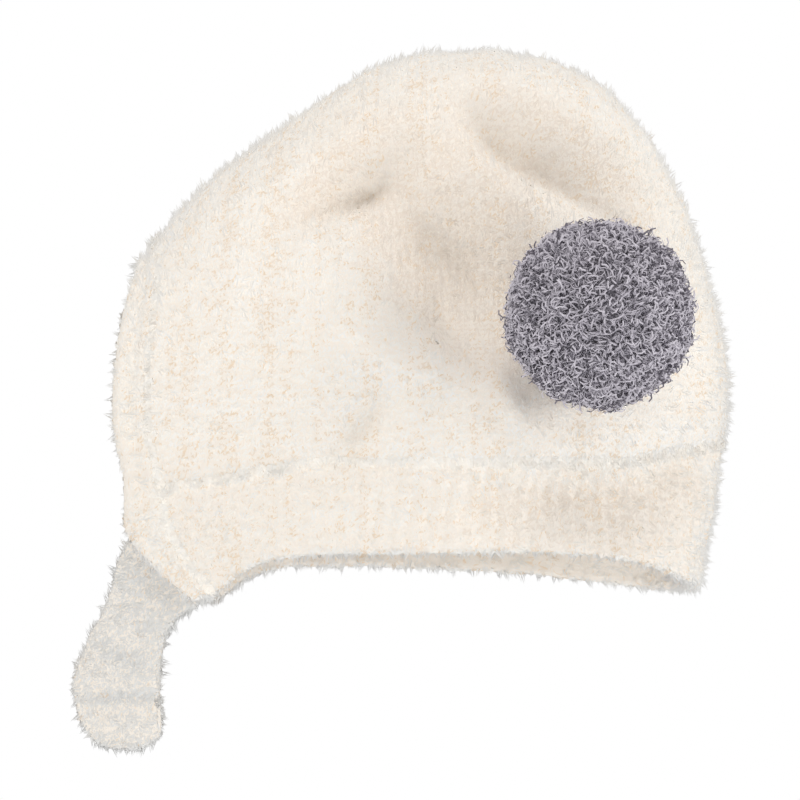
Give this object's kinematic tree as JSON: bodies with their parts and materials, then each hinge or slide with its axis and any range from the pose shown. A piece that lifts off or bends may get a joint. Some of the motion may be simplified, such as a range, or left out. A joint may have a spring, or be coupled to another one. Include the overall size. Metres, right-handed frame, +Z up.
{
  "type": "pom-pom baby hat",
  "caption": "Soft knitted baby hat with an open face, a ribbed neck band and face edging, ear flaps, a chin strap with a round free end, and a grey pompom high on the side.",
  "frame": {"origin": "inside of the hood's top, where the hat rests on a head", "axes": "+X towards the back of the head, -Y the side with the pompom and the strap, +Z up"},
  "size_m": [0.1903, 0.1798, 0.2035],
  "materials": {
    "crown_knit": "cream chenille stockinette with a short soft pile",
    "rib_knit": "cream chenille rib with a short soft pile",
    "edging_knit": "cream chenille rib with a short soft pile",
    "strap_knit": "cream chenille with a short soft pile",
    "closure": "white hook tape",
    "pompom_yarn": "lilac grey curly chenille yarn"
  },
  "bodies": {
    "root": {"crown": "crown_knit", "neck_band": "rib_knit", "face_band": "edging_knit", "chin_strap": "strap_knit", "strap_patch": "closure", "pompom": "pompom_yarn"}
  },
  "joints": []
}
